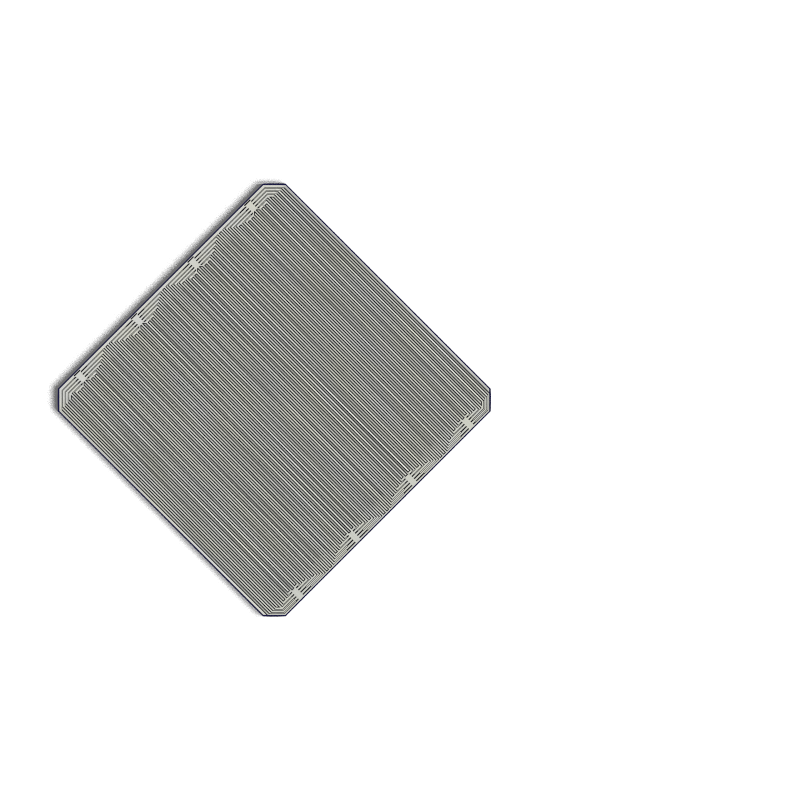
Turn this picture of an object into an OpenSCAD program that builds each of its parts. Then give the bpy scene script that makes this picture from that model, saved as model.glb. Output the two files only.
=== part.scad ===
// Back-contact solar cell: a thin slice of silicon that carries two interlocking plated
// grids on its upper face. Its sunny face is the plain one underneath.
// Millimetres, +Z up, origin at the middle of the underside.
// The positive pads stand along the +Y side and the negative pads along the -Y side.

/* [Wafer] */
// Width of the wafer across its straight sides
side = 125; // [118:0.5:132]
// Length that each rounded corner takes off a side
corner_cut = 6.2; // [5:0.1:9]
// Thickness of the silicon
wafer_t = 0.165; // [0.12:0.005:0.25]

/* [Fingers] */
// Thickness of the plated metal
plating_t = 0.03; // [0.02:0.005:0.08]
// Bare silicon left between the metal and the straight sides of the wafer
bare_margin = 0.55; // [0.3:0.05:0.7]
// Bare silicon left between the metal and the rounded corners
corner_margin = 0.65; // [0.3:0.05:0.9]
// Fingers of one polarity between a pad's middle line and the middle between two pads
half_fingers = 8; // [7:1:10]
// Width of a finger
finger_w = 0.45; // [0.3:0.05:0.55]
// Width of the two outermost fingers, which run along the bare sides
edge_finger_w = 0.79; // [0.6:0.01:1]
// Bare length past the blunt end of a finger
tip_gap = 0.4; // [0.3:0.05:0.7]

/* [Edge strips on both sides] */
// Solder pads along each of the two contact sides
pads_per_side = 4; // [4:1:5]
// Distance between two neighbouring strips, middle to middle
strip_spacing = 1.2; // [1.15:0.01:1.4]
// Width of the bare slots beside a pad
slot_w = 0.56; // [0.4:0.02:0.6]
// Bare gap to each side of a line of the other polarity between two strips
line_gap = 0.22; // [0.12:0.01:0.24]
// Longest slot beside a pad on the half that runs towards a rounded corner
corner_slot = 1.2; // [0.6:0.1:3]
// Widest line of the other polarity on the half that runs towards a rounded corner
corner_line_w = 0.2; // [0.08:0.01:0.4]

/* [Positive side] */
// Strips beside each positive pad
positive_strips = 5; // [4:1:6]
// Width of the positive strip along the edge
positive_edge_strip_w = 0.91; // [0.85:0.01:1.3]
// Width of the positive strip furthest from the edge
positive_inner_strip_w = 0.75; // [0.5:0.05:1.2]
// Share of the fingers that the innermost positive strip leaves to the others
positive_fall = 0.625; // [0.55:0.005:0.7]
// Width of a positive pad
positive_pad_w = 2.3; // [1.8:0.1:3]
// Length of a positive pad, square to the edge
positive_pad_len = 3.95; // [3:0.05:5]
// Width of the thin link that passes a positive pad on its outer side
link_w = 0.15; // [0.12:0.01:0.3]
// Length of the slot between a positive pad and its link
relief_len = 3.3; // [2.6:0.1:4]
// Slant at the pad end of the outermost positive slot
pad_flare = 0.45; // [0.1:0.05:0.6]
// Bare slots beside a positive pad, the outermost first
positive_slots = [3.5, 1.3, 1.3, 0.5]; // [0.3:0.1:5]
// Negative lines between the positive strips, the outermost first
positive_line_ws = [0.08, 0.1, 0.12, 0.12]; // [0.08:0.01:0.2]

/* [Negative side] */
// Strips beside each negative pad
negative_strips = 5; // [4:1:6]
// Width of the negative strip along the edge
negative_edge_strip_w = 0.49; // [0.45:0.01:0.9]
// Width of the negative strip furthest from the edge
negative_inner_strip_w = 0.6; // [0.5:0.05:1.2]
// Share of the fingers that the innermost negative strip leaves to the others
negative_fall = 0.96; // [0.85:0.01:0.98]
// Width of a negative pad
negative_pad_w = 2.3; // [1.8:0.1:3]
// Length of a negative pad, square to the edge
negative_pad_len = 4.8; // [3:0.05:6]
// Bare slots beside a negative pad, the outermost first
negative_slots = [4.3, 3.0, 1.2, 0.9]; // [0.3:0.1:5]
// Positive lines between the negative strips, the outermost first
negative_line_ws = [0.3, 0.3, 0.14, 0.12]; // [0.08:0.01:0.4]

/* [Hidden] */

// Counts are whole numbers.
pads = round(pads_per_side);
fingers = round(half_fingers);
// The two contact sides: q is 0 for the positive side and 1 for the negative one.
strips = [round(positive_strips), round(negative_strips)];
edge_strip_w = [positive_edge_strip_w, negative_edge_strip_w];
inner_strip_w = [positive_inner_strip_w, negative_inner_strip_w];
fall = [positive_fall, negative_fall];
pad_w = [positive_pad_w, negative_pad_w];
pad_len = [positive_pad_len, negative_pad_len];
slots = [positive_slots, negative_slots];
line_ws = [positive_line_ws, negative_line_ws];
flare = [pad_flare, 0];

// Every pad sits in the middle of its own bay. The bays are equally wide, and the outermost
// positive fingers widen to reach the ends of the metal.
metal_x = side / 2 - bare_margin;
half_w = finger_w / 2;
last_x = metal_x - edge_finger_w + half_w;
bay = last_x / ((pads - 1) / 2 + fingers / (2 * fingers + 1));
// Distance between two fingers of one polarity. The other polarity's lie halfway between.
pitch = bay / (2 * fingers + 1);

// The corners lie on the round of the ingot, and the metal follows their chords.
corner_x = side / 2 - corner_cut;
corner_r = norm([side / 2, corner_x]);
round_fn = 360;
// Width of an arm's root at the inner end of a pad
arm_w = 0.5;

// Points are [x, v]: v is the depth below the edge of the side in question.
// Distance from the chord of a corner to a line that lies at depth v along the side
function chord_v(v) = v > bare_margin ? v : corner_margin;
// Depth of such a line at x, and where it bends from the side to the chord
function inset(x, v) = max(v, abs(x) - corner_x + chord_v(v) * sqrt(2));
function bend_x(v) = corner_x + v - chord_v(v) * sqrt(2);
// That line from x1 to x2, with its bends
function run(x1, x2, v) =
    let (bends = (x1 < x2 ? [-1, 1] : [1, -1]) * bend_x(v))
    concat(
        [[x1, inset(x1, v)]],
        [for (m = bends) if ((m - x1) * (m - x2) < 0) [m, v]],
        [[x2, inset(x2, v)]]
    );
function reversed(points) = [for (i = [len(points) - 1:-1:0]) points[i]];
function pick(list, i) = list[min(i, len(list) - 1)];
// Middle line of bay b, and whether half s of the bay at xb is at an end of the row
function bay_x(b) = (b - (pads - 1) / 2) * bay;
function at_end(xb, s) = abs(xb + s * bay) > side / 2;

// Channel c runs between strips c and c + 1. Strip 0 is the one along the edge.
function channel_v(q, c) = bare_margin + edge_strip_w[q] + slot_w / 2 + c * strip_spacing;
function line_half(q, c) = pick(line_ws[q], c) / 2;
function channel_half(q, c) = line_half(q, c) + line_gap;
function strip_out(q, k) = channel_v(q, k - 1) + channel_half(q, k - 1);
function strip_in(q, k) = k == strips[q] - 1
    ? strip_out(q, k) + inner_strip_w[q]
    : channel_v(q, k) - channel_half(q, k);

// Finger i of side q itself stands (i + q / 2) pitches from the middle of its bay, and
// finger i of the other side stands half a pitch further out.
function finger_u(q, i) = (i + q / 2) * pitch;
// Last finger that hangs on strip k: the deeper the strip, the sooner it ends
function last_finger(q, k) =
    floor(fingers * (1 - fall[q] * k / (strips[q] - 1)) + 0.9);
function first_finger(q, k) = k == strips[q] - 1 ? 1 - q : last_finger(q, k + 1) + 1;
function strip_of(q, i) =
    max([for (k = [0:strips[q] - 1]) if (k == 0 || last_finger(q, k) >= i) k]);

// Side of the first finger beside the middle of the pad, towards that middle
function first_u(q) = finger_u(q, 1 - q) - half_w;

// The pad, and on the positive side the two slanting arms that spread from its inner end
function pad_out(q) = bare_margin + (q == 0 ? link_w + slot_w : 0);
function pad_in(q) = pad_out(q) + pad_len[q];
function throat(q, v) = pad_w[q] / 2 + max(0, v - pad_in(q));
function arm_root(q) = q == 0 ? pad_w[q] / 2 - arm_w : first_u(q);
function arm_v(q, u) = pad_in(q) + u - arm_root(q);

// Where the slot of channel c ends, and half the width of the other polarity's line, which
// ends just short of it. Both are cut down on the half that runs towards a corner.
function near_corner(xb, s) = abs(xb + s * bay / 2) > corner_x;
function slot_u(q, c, xb, s) =
    let (full = pick(slots[q], c))
    throat(q, channel_v(q, c) + slot_w / 2) + (near_corner(xb, s) ? min(full, corner_slot) : full);
function thin_half(q, c, xb, s) =
    near_corner(xb, s) ? min(line_half(q, c), corner_line_w / 2) : line_half(q, c);

// Tip of finger i of the other side, in the bay at xb, on its s side, from its inner edge
// to its outer one. Just past the end of a strip it turns and runs along the channel there.
function channel_of(q, i) =
    [for (k = [1:strips[q] - 1]) if (last_finger(q, k) == i) k - 1][0];
function blunt_v(q, i) =
    i == -q ? pad_in(q) + tip_gap : strip_in(q, strip_of(q, i + 1)) + tip_gap;
function far_tip(q, xb, s, i) =
    let (u = finger_u(q, i + 0.5))
    let (x1 = xb + s * (u - half_w))
    let (x2 = xb + s * (u + half_w))
    let (c = channel_of(q, i))
    q == 0 && i == 0 ?
        [for (x = [x1, x2]) [x, arm_v(q, abs(x - xb)) + tip_gap * sqrt(2)]] :
    q == 1 && i == fingers - 1 && at_end(xb, s) ?
        run(x1, s * metal_x, bare_margin) :
    is_undef(c) ?
        run(x1, x2, blunt_v(q, i)) :
    let (line_end = xb + s * (slot_u(q, c, xb, s) + line_gap))
    let (half = thin_half(q, c, xb, s))
    concat(
        run(x1, line_end, channel_v(q, c) + half),
        run(line_end, x2, channel_v(q, c) - half)
    );
// Tip of finger i of side q itself, with its depth still counted from side q
function tip(q, xb, s, i) =
    [for (point = far_tip(1 - q, xb, s, i + q - 1)) [point[0], side - point[1]]];

// The fingers of strip k, from the pad outwards. A negative finger on the border between
// two bays gets one half from each of them, and there is none at the ends of the row.
function fingers_path(q, xb, s, k) =
    let (on_border = q == 1 && k == 0)
    let (last = last_finger(q, k) - (on_border && at_end(xb, s) ? 1 : 0))
    [for (i = [first_finger(q, k):last])
        let (points = tip(q, xb, s, i))
        each concat(
            i == first_finger(q, k) ? [] :
                run(xb + s * (finger_u(q, i - 1) + half_w),
                    xb + s * (finger_u(q, i) - half_w), strip_in(q, k)),
            on_border && i == fingers ? [points[0]] : points
        )];
// Channel c, inwards along strip c + 1, across at the pad, and outwards along strip c
function channel_path(q, xb, s, c) =
    let (v = channel_v(q, c))
    let (v1 = v + slot_w / 2)
    let (v2 = v - slot_w / 2)
    let (xs = xb + s * slot_u(q, c, xb, s))
    let (from_x = xb + s * (finger_u(q, last_finger(q, c + 1)) + half_w))
    let (to_x = xb + s * (finger_u(q, first_finger(q, c)) - half_w))
    concat(
        run(from_x, xs, v + channel_half(q, c)),
        [[xs, v1], [xb + s * throat(q, v1), v1]],
        v2 < pad_in(q) && pad_in(q) < v1 ? [[xb + s * pad_w[q] / 2, pad_in(q)]] : [],
        [[xb + s * (throat(q, v2) + (c == 0 ? flare[q] : 0)), v2], [xs, v2]],
        run(xs, to_x, v - channel_half(q, c))
    );
// The inner outline of half a bay, from the middle of its pad outwards
function half_bay(q, xb, s) =
    let (n = strips[q])
    let (x_end = xb + s * (finger_u(q, fingers) + half_w))
    concat(
        q == 0 ? [
            tip(q, xb, s, 0)[1],
            [xb + s * half_w, pad_in(q)],
            [xb + s * arm_root(q), pad_in(q)]
        ] : [],
        [[xb + s * first_u(q), arm_v(q, first_u(q))]],
        [for (k = [n - 1:-1:0]) each concat(
            fingers_path(q, xb, s, k),
            k > 0 ? channel_path(q, xb, s, k - 1) : []
        )],
        q == 0 && !at_end(xb, s) ? [[x_end, strip_in(q, 0)]] : []
    );
// The whole conductor of side q: out along its edge and back along the bays
function outline(q) =
    let (x_end = q == 0 ? metal_x : bay_x(pads - 1) + finger_u(q, fingers - 1) + half_w)
    concat(
        run(-x_end, x_end, bare_margin),
        [for (b = [pads - 1:-1:0])
            each concat(reversed(half_bay(q, bay_x(b), 1)), half_bay(q, bay_x(b), -1))]
    );

// The wafer: a square slice of a round ingot
module wafer() {
    color([0.09, 0.17, 0.66])
        linear_extrude(height = wafer_t)
            intersection() {
                square(side, center = true);
                circle(r = corner_r, $fn = round_fn);
            }
}

// The plated conductor of side q, lying on the wafer
module grid(q) {
    translate([0, 0, wafer_t])
        linear_extrude(height = plating_t)
            polygon([for (point = outline(q)) [point[0], (1 - 2 * q) * (side / 2 - point[1])]]);
}

// The bare slot between a positive pad and its link
module relief_slot(x) {
    translate([x - relief_len / 2, side / 2 - pad_out(0), wafer_t - plating_t])
        cube([relief_len, slot_w, 3 * plating_t]);
}

module positive_grid() {
    color([0.82, 0.83, 0.79])
        difference() {
            grid(0);
            for (b = [0:pads - 1]) relief_slot(bay_x(b));
        }
}

module negative_grid() {
    color([0.8, 0.81, 0.77]) grid(1);
}

wafer();
positive_grid();
negative_grid();
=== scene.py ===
"""A back-contact solar cell, lying with its contact side up, seen from straight above."""

import math

import bpy
from mathutils import Matrix, Vector


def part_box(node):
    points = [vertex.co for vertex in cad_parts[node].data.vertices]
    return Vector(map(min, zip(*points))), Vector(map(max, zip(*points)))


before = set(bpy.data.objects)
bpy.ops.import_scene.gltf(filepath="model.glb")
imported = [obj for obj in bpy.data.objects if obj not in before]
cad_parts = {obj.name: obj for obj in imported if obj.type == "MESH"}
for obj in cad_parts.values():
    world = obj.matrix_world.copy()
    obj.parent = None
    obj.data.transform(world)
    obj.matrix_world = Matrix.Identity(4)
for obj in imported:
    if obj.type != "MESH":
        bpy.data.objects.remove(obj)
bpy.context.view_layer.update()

# The photograph is 800 pixels square. The cell's middle and its size were read off it there.
FRAME_PX = 800
CELL_PX = (274.3, 400.0)
PX_PER_MM = 2.577
MM = 0.001
# The picture's right and its up, on level ground: the cell stands on a corner there
RIGHT = Vector((1, -1, 0)).normalized()
UP = Vector((1, 1, 0)).normalized()

# Sizes of the cell, in millimetres, as the CAD model has them
SIDE = 125.0
CORNER_CUT = 6.2
FINGERS_PER_BAY = 17
PAD_SPACING = 31.151
PITCH = PAD_SPACING / FINGERS_PER_BAY
TOP_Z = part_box("positive_grid")[1].z


def linear(r, g, b):
    """A colour written 0 to 255, as shader values."""
    def channel(v):
        v /= 255.0
        return v / 12.92 if v <= 0.04045 else ((v + 0.055) / 1.055) ** 2.4
    return (channel(r), channel(g), channel(b), 1.0)


class Nodes:
    """Short calls for building a node tree."""

    def __init__(self, tree):
        self.tree = tree
        tree.nodes.clear()

    def add(self, kind, **settings):
        node = self.tree.nodes.new(kind)
        for key, value in settings.items():
            setattr(node, key, value)
        return node

    def put(self, socket, value):
        if isinstance(value, bpy.types.NodeSocket):
            self.tree.links.new(value, socket)
        elif value is not None:
            socket.default_value = value

    def math(self, operation, a, b=None):
        node = self.add("ShaderNodeMath", operation=operation)
        for socket, value in zip(node.inputs, (a, b)):
            self.put(socket, value)
        return node.outputs[0]

    def spread(self, value, low, high, to_low, to_high):
        """Maps value from low..high to to_low..to_high, held at both ends."""
        node = self.add("ShaderNodeMapRange", clamp=True)
        for socket, v in zip(node.inputs, (value, low, high, to_low, to_high)):
            self.put(socket, v)
        return node.outputs[0]

    def place(self):
        """Object coordinates in millimetres, and their three components."""
        coords = self.add("ShaderNodeTexCoord").outputs["Object"]
        scaled = self.add("ShaderNodeVectorMath", operation="SCALE")
        self.put(scaled.inputs[0], coords)
        scaled.inputs["Scale"].default_value = 1.0 / MM
        parts = self.add("ShaderNodeSeparateXYZ")
        self.put(parts.inputs[0], scaled.outputs[0])
        return scaled.outputs[0], parts.outputs

    def noise(self, vector, stretch, scale, detail=2.0, roughness=0.5):
        mapping = self.add("ShaderNodeMapping")
        self.put(mapping.inputs["Vector"], vector)
        mapping.inputs["Scale"].default_value = stretch
        tex = self.add("ShaderNodeTexNoise", noise_dimensions="3D")
        self.put(tex.inputs["Vector"], mapping.outputs[0])
        tex.inputs["Scale"].default_value = scale
        tex.inputs["Detail"].default_value = detail
        tex.inputs["Roughness"].default_value = roughness
        return tex.outputs["Fac"]

    def mix(self, factor, a, b):
        node = self.add("ShaderNodeMix", data_type="RGBA", blend_type="MIX")
        self.put(node.inputs[0], factor)
        self.put(node.inputs[6], a)
        self.put(node.inputs[7], b)
        return node.outputs[2]

    def shade(self, colour, factor):
        """A colour made lighter or darker by a number."""
        node = self.add("ShaderNodeVectorMath", operation="SCALE")
        self.put(node.inputs[0], colour)
        self.put(node.inputs["Scale"], factor)
        return node.outputs[0]

    def bump(self, height, strength, distance):
        node = self.add("ShaderNodeBump")
        self.put(node.inputs["Height"], height)
        node.inputs["Strength"].default_value = strength
        node.inputs["Distance"].default_value = distance
        return node.outputs[0]


def new_material(name):
    material = bpy.data.materials.new(name)
    material.use_nodes = True
    nodes = Nodes(material.node_tree)
    shader = nodes.add("ShaderNodeBsdfPrincipled")
    output = nodes.add("ShaderNodeOutputMaterial")
    nodes.put(output.inputs["Surface"], shader.outputs[0])
    return material, nodes, shader


# ---- plated metal ----
TIN_POSITIVE = (213, 214, 210)
TIN_NEGATIVE = (207, 209, 203)
# Added to a tin colour where it is at its warmest
WARMER = (2, 1, -7)
# How light a finger is on the whole, and how far it strays from its neighbours
LINE_LEVEL = 0.9
LINE_CONTRAST = 0.52
FAINT_BAND = 0.86
STRONG_BAND = 1.02
# The fingers change over between one end's lightness and the other's within this of the middle
CHANGE_OVER = 25.0
# In from a side of the cell: fingers alone from the first on, strips alone up to the second
FINGERS_FROM = 7.5
STRIPS_TO = 4.5
# Keeps the numbers drawn for the other ends apart from the first ones
OTHER_END = 1000.0


def bands(n, place):
    """Long bands along the fingers: 1 where these stand out well, 0 where they look fainter."""
    return n.spread(n.noise(place, (1.0, 0.09, 1.0), 0.24, 1.0), 0.36, 0.52, 0.0, 1.0)


def chance(n, number):
    """A number from 0 to 1 drawn for each whole number."""
    noise = n.add("ShaderNodeTexWhiteNoise", noise_dimensions="1D")
    n.put(noise.inputs["W"], number)
    return noise.outputs["Value"]


def against_neighbours(n, line):
    """What is drawn for a line less the mean of its two neighbours, from -1 to 1."""
    after = chance(n, n.math("ADD", line, 1.0))
    before = chance(n, n.math("SUBTRACT", line, 1.0))
    beside = n.math("MULTIPLY", n.math("ADD", after, before), 0.5)
    return n.math("SUBTRACT", chance(n, line), beside)


def line_levels(n, place, x, y):
    """How light the metal is. The fingers differ a little, the strips at the edges don't."""
    line = n.math("ROUND", n.math("DIVIDE", x, PITCH / 2))
    far_end = n.spread(y, -CHANGE_OVER, CHANGE_OVER, 0.0, 1.0)
    near_end = n.math("SUBTRACT", 1.0, far_end)
    near_part = n.math("MULTIPLY", against_neighbours(n, line), near_end)
    other_line = n.math("ADD", line, OTHER_END)
    far_part = n.math("MULTIPLY", against_neighbours(n, other_line), far_end)
    strays = n.math("MULTIPLY", n.math("ADD", near_part, far_part), LINE_CONTRAST)
    band = n.spread(bands(n, place), 0.0, 1.0, FAINT_BAND, STRONG_BAND)
    per_line = n.math("MULTIPLY", n.math("ADD", strays, LINE_LEVEL), band)
    side = n.math("ABSOLUTE", y)
    free = n.spread(side, SIDE / 2 - FINGERS_FROM, SIDE / 2 - STRIPS_TO, 1.0, 0.0)
    return n.math("ADD", n.math("MULTIPLY", free, n.math("SUBTRACT", per_line, 1.0)), 1.0)


def plating(name, colour):
    """Matte tin plating with streaks along the fingers, faint clouds and a fine grain."""
    material, n, shader = new_material(name)
    place, (x, y, z) = n.place()
    level = line_levels(n, place, x, y)
    streaks = n.spread(n.noise(place, (1.3, 0.05, 1.0), 1.0, 3.0), 0.3, 0.7, 0.95, 1.04)
    clouds = n.spread(n.noise(place, (1, 1, 1), 0.045, 3.0), 0.3, 0.7, 0.97, 1.03)
    grain = n.noise(place, (1, 1, 1), 6.0, 5.0, 0.65)
    speckle = n.spread(grain, 0.3, 0.7, 0.94, 1.05)
    for factor in (streaks, clouds, speckle):
        level = n.math("MULTIPLY", level, factor)
    warm = n.spread(n.noise(place, (1, 0.3, 1), 0.12, 2.0), 0.35, 0.65, 0.0, 1.0)
    warmest = [c + more for c, more in zip(colour, WARMER)]
    tinted = n.mix(warm, linear(*colour), linear(*warmest))
    n.put(shader.inputs["Base Color"], n.shade(tinted, level))
    shader.inputs["Metallic"].default_value = 1.0
    n.put(shader.inputs["Roughness"], n.spread(grain, 0.3, 0.7, 0.36, 0.52))
    ridges = n.noise(place, (9.0, 0.5, 1.0), 1.0, 3.0)
    relief = n.math("ADD", n.math("MULTIPLY", grain, 0.6), n.math("MULTIPLY", ridges, 0.4))
    n.put(shader.inputs["Normal"], n.bump(relief, 0.25, 0.006 * MM))
    return material


# ---- silicon ----
DARK = (14, 14, 20)
DARK_CLOUDS = (18, 18, 28)
DARK_IN_FAINT_BANDS = (40, 40, 43)
BARE_MARGIN = (8, 8, 60)
BLUE = (19, 39, 158)
BLUE_CLOUDS = (22, 43, 172)
# The darker blue of broad, slowly drifting patches on the sunny face
BLUE_DARKER_PATCHES = (16, 32, 138)
# In from a side of the cell: the bare margin's colour starts at the first, is full from the second
MARGIN_FROM = 0.7
MARGIN_FULL = 0.5


def margin(n, x, y):
    """0 inside, 1 on the bare margin along the four sides and the four corners' chords."""
    x_off = n.math("ABSOLUTE", x)
    y_off = n.math("ABSOLUTE", y)
    side = n.math("MAXIMUM", x_off, y_off)
    # How far out along a corner's diagonal, counted so that a chord is as far out as a side
    chord_less = (SIDE - CORNER_CUT) / math.sqrt(2) - SIDE / 2
    diagonal = n.math("DIVIDE", n.math("ADD", x_off, y_off), math.sqrt(2))
    chord = n.math("SUBTRACT", diagonal, chord_less)
    outwards = n.math("MAXIMUM", side, chord)
    return n.spread(outwards, SIDE / 2 - MARGIN_FROM, SIDE / 2 - MARGIN_FULL, 0.0, 1.0)


def silicon():
    """Coated silicon: blue on the sunny face underneath, nearly black on the contact face."""
    material, n, shader = new_material("coated_silicon")
    place, (x, y, z) = n.place()
    normal = n.add("ShaderNodeSeparateXYZ")
    n.put(normal.inputs[0], n.add("ShaderNodeTexCoord").outputs["Normal"])
    clouds = n.noise(place, (1, 1, 1), 0.03, 3.0)
    fine = n.noise(place, (1, 1, 1), 9.0, 4.0, 0.7)

    # Contact face: dark between the fingers, more navy on the bare margin
    dark = n.mix(n.spread(clouds, 0.35, 0.65, 0.0, 1.0), linear(*DARK), linear(*DARK_CLOUDS))
    dark = n.mix(bands(n, place), linear(*DARK_IN_FAINT_BANDS), dark)
    top = n.mix(margin(n, x, y), dark, linear(*BARE_MARGIN))

    # Sunny face: a deep blue that drifts slowly, darker in broad patches
    blue = n.mix(n.spread(clouds, 0.3, 0.7, 0.0, 1.0), linear(*BLUE), linear(*BLUE_CLOUDS))
    darker_patches = n.noise(place, (0.35, 1.0, 1.0), 0.02, 1.0)
    blue = n.mix(n.spread(darker_patches, 0.35, 0.7, 0.0, 0.4), blue, linear(*BLUE_DARKER_PATCHES))
    below = n.math("LESS_THAN", normal.outputs[2], -0.5)
    colour = n.mix(below, top, blue)
    n.put(shader.inputs["Base Color"], n.shade(colour, n.spread(fine, 0.3, 0.7, 0.9, 1.1)))
    n.put(shader.inputs["Roughness"], n.spread(fine, 0.3, 0.7, 0.3, 0.45))
    shader.inputs["Specular IOR Level"].default_value = 0.12
    n.put(shader.inputs["Normal"], n.bump(fine, 0.2, 0.004 * MM))
    return material


def dress(node, material):
    """Gives a CAD node its material."""
    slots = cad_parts[node].data.materials
    slots.clear()
    slots.append(material)


dress("wafer", silicon())
dress("positive_grid", plating("tin_plating_positive", TIN_POSITIVE))
dress("negative_grid", plating("tin_plating_negative", TIN_NEGATIVE))


# ---- floor ----
FLOOR_REACH = 6.0
FLOOR_GAP = 0.02 * MM
FLOOR_WHITE = 0.9
FLOOR_GLOW = 0.08


def floor():
    """A wide matte floor, a hair below the cell, that looks white to the camera."""
    signs = ((-1, -1), (1, -1), (1, 1), (-1, 1))
    corners = [(FLOOR_REACH * x, FLOOR_REACH * y, -FLOOR_GAP) for x, y in signs]
    mesh = bpy.data.meshes.new("floor")
    mesh.from_pydata(corners, [], [(0, 1, 2, 3)])
    obj = bpy.data.objects.new("floor", mesh)
    bpy.context.scene.collection.objects.link(obj)
    material = bpy.data.materials.new("floor_white")
    material.use_nodes = True
    n = Nodes(material.node_tree)
    matte = n.add("ShaderNodeBsdfDiffuse")
    matte.inputs["Color"].default_value = (FLOOR_WHITE, FLOOR_WHITE, FLOOR_WHITE, 1.0)
    glow = n.add("ShaderNodeEmission")
    rays = n.add("ShaderNodeLightPath")
    seen = rays.outputs["Is Camera Ray"]
    n.put(glow.inputs["Strength"], n.math("MULTIPLY", seen, FLOOR_GLOW))
    both = n.add("ShaderNodeAddShader")
    n.put(both.inputs[0], matte.outputs[0])
    n.put(both.inputs[1], glow.outputs[0])
    output = n.add("ShaderNodeOutputMaterial")
    n.put(output.inputs["Surface"], both.outputs[0])
    mesh.materials.append(material)
    return obj


ground = floor()


# ---- light ----
# White surroundings and a wide lamp overhead light the cell. A bunch of low lamps lights the
# floor alone, so that the thin slice throws a soft shadow to the left in the picture.
FILL = 0.1
MIRRORED_AT_GROUND = 0.8
TOP_SHARE = 0.8
TOP_SPREAD = 120.0
LOW_SHARE = 1.12
LOW_COUNT = 6
# A low lamp's width as a part of its height over the ground
LOW_SPREAD = 0.9
# How high the slice's upper edge is over the floor, and where its shadow falls in the picture:
# to the left and a little up, with the edge spread over a ring
SLICE_MM = 0.185
SHADOW_PX = Vector((-7.0, 2.5))
BLUR_PX = 3.7


def surroundings():
    """A world that is white to the camera and nearly white in the metal, and lights dimly."""
    world = bpy.data.worlds.new("studio")
    world.use_nodes = True
    n = Nodes(world.node_tree)
    rays = n.add("ShaderNodeLightPath")
    up = n.add("ShaderNodeSeparateXYZ")
    n.put(up.inputs[0], n.add("ShaderNodeTexCoord").outputs["Generated"])
    mirrored = n.spread(up.outputs[2], 0.0, 0.8, MIRRORED_AT_GROUND, 1.0)
    in_metal = n.math("MULTIPLY", rays.outputs["Is Glossy Ray"], mirrored)
    seen = n.math("MAXIMUM", in_metal, FILL)
    light = n.add("ShaderNodeBackground")
    light.inputs["Color"].default_value = (1.0, 1.0, 1.0, 1.0)
    n.put(light.inputs["Strength"], n.math("MAXIMUM", seen, rays.outputs["Is Camera Ray"]))
    output = n.add("ShaderNodeOutputWorld")
    n.put(output.inputs["Surface"], light.outputs[0])
    bpy.context.scene.world = world


def lamp(name, towards, share, spread, lit):
    """A far lamp in one direction that gives level ground its share of white light."""
    data = bpy.data.lights.new(name, "SUN")
    data.angle = math.radians(spread)
    towards = Vector(towards).normalized()
    data.energy = share * math.pi / towards.z
    obj = bpy.data.objects.new(name, data)
    obj.rotation_euler = towards.to_track_quat("Z", "Y").to_euler()
    bpy.context.scene.collection.objects.link(obj)
    group = bpy.data.collections.new(name + "_lights")
    for piece in lit:
        group.objects.link(piece)
    obj.light_linking.receiver_collection = group
    return obj


def low_lamps():
    """One lamp in the middle of a ring, each with its own place for the shadow's edge."""
    turns = [math.radians(360 * i / LOW_COUNT) for i in range(LOW_COUNT)]
    ring = [SHADOW_PX + BLUR_PX * Vector((math.cos(a), math.sin(a))) for a in turns]
    share = LOW_SHARE / (1 + LOW_COUNT)
    for i, shift in enumerate([SHADOW_PX] + ring):
        shadow = (RIGHT * shift.x + UP * shift.y) / PX_PER_MM
        height = math.degrees(math.atan2(SLICE_MM, shadow.length))
        towards = Vector((0, 0, SLICE_MM)) - shadow
        lamp(f"low_lamp_{i}", towards, share, LOW_SPREAD * height, [ground])


surroundings()
low_lamps()
top_lamp = lamp("top_lamp", (0, 0, 1), TOP_SHARE, TOP_SPREAD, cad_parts.values())
top_lamp.visible_glossy = False


# ---- camera ----
LENS_MM = 120.0
SENSOR_MM = 36.0


def camera():
    """Straight above, turned 45 degrees, so that the cell stands on a corner in the picture."""
    width = FRAME_PX / PX_PER_MM * MM
    distance = LENS_MM * width / SENSOR_MM
    aside = (FRAME_PX / 2 - CELL_PX[0]) / PX_PER_MM * MM
    above = (CELL_PX[1] - FRAME_PX / 2) / PX_PER_MM * MM
    place = RIGHT * aside + UP * above + Vector((0, 0, TOP_Z + distance))
    data = bpy.data.cameras.new("camera")
    data.lens = LENS_MM
    data.sensor_width = SENSOR_MM
    data.clip_start = 0.01
    data.clip_end = 30.0
    obj = bpy.data.objects.new("camera", data)
    turn = Matrix((RIGHT, UP, Vector((0, 0, 1)))).transposed().to_4x4()
    obj.matrix_world = Matrix.Translation(place) @ turn
    bpy.context.scene.collection.objects.link(obj)
    bpy.context.scene.camera = obj


camera()

scene = bpy.context.scene
scene.view_settings.view_transform = "Standard"
# The lines are two pixels apart: a narrow pixel filter keeps them apart, a denoiser would not
scene.cycles.filter_width = 1.05
scene.cycles.use_denoising = False
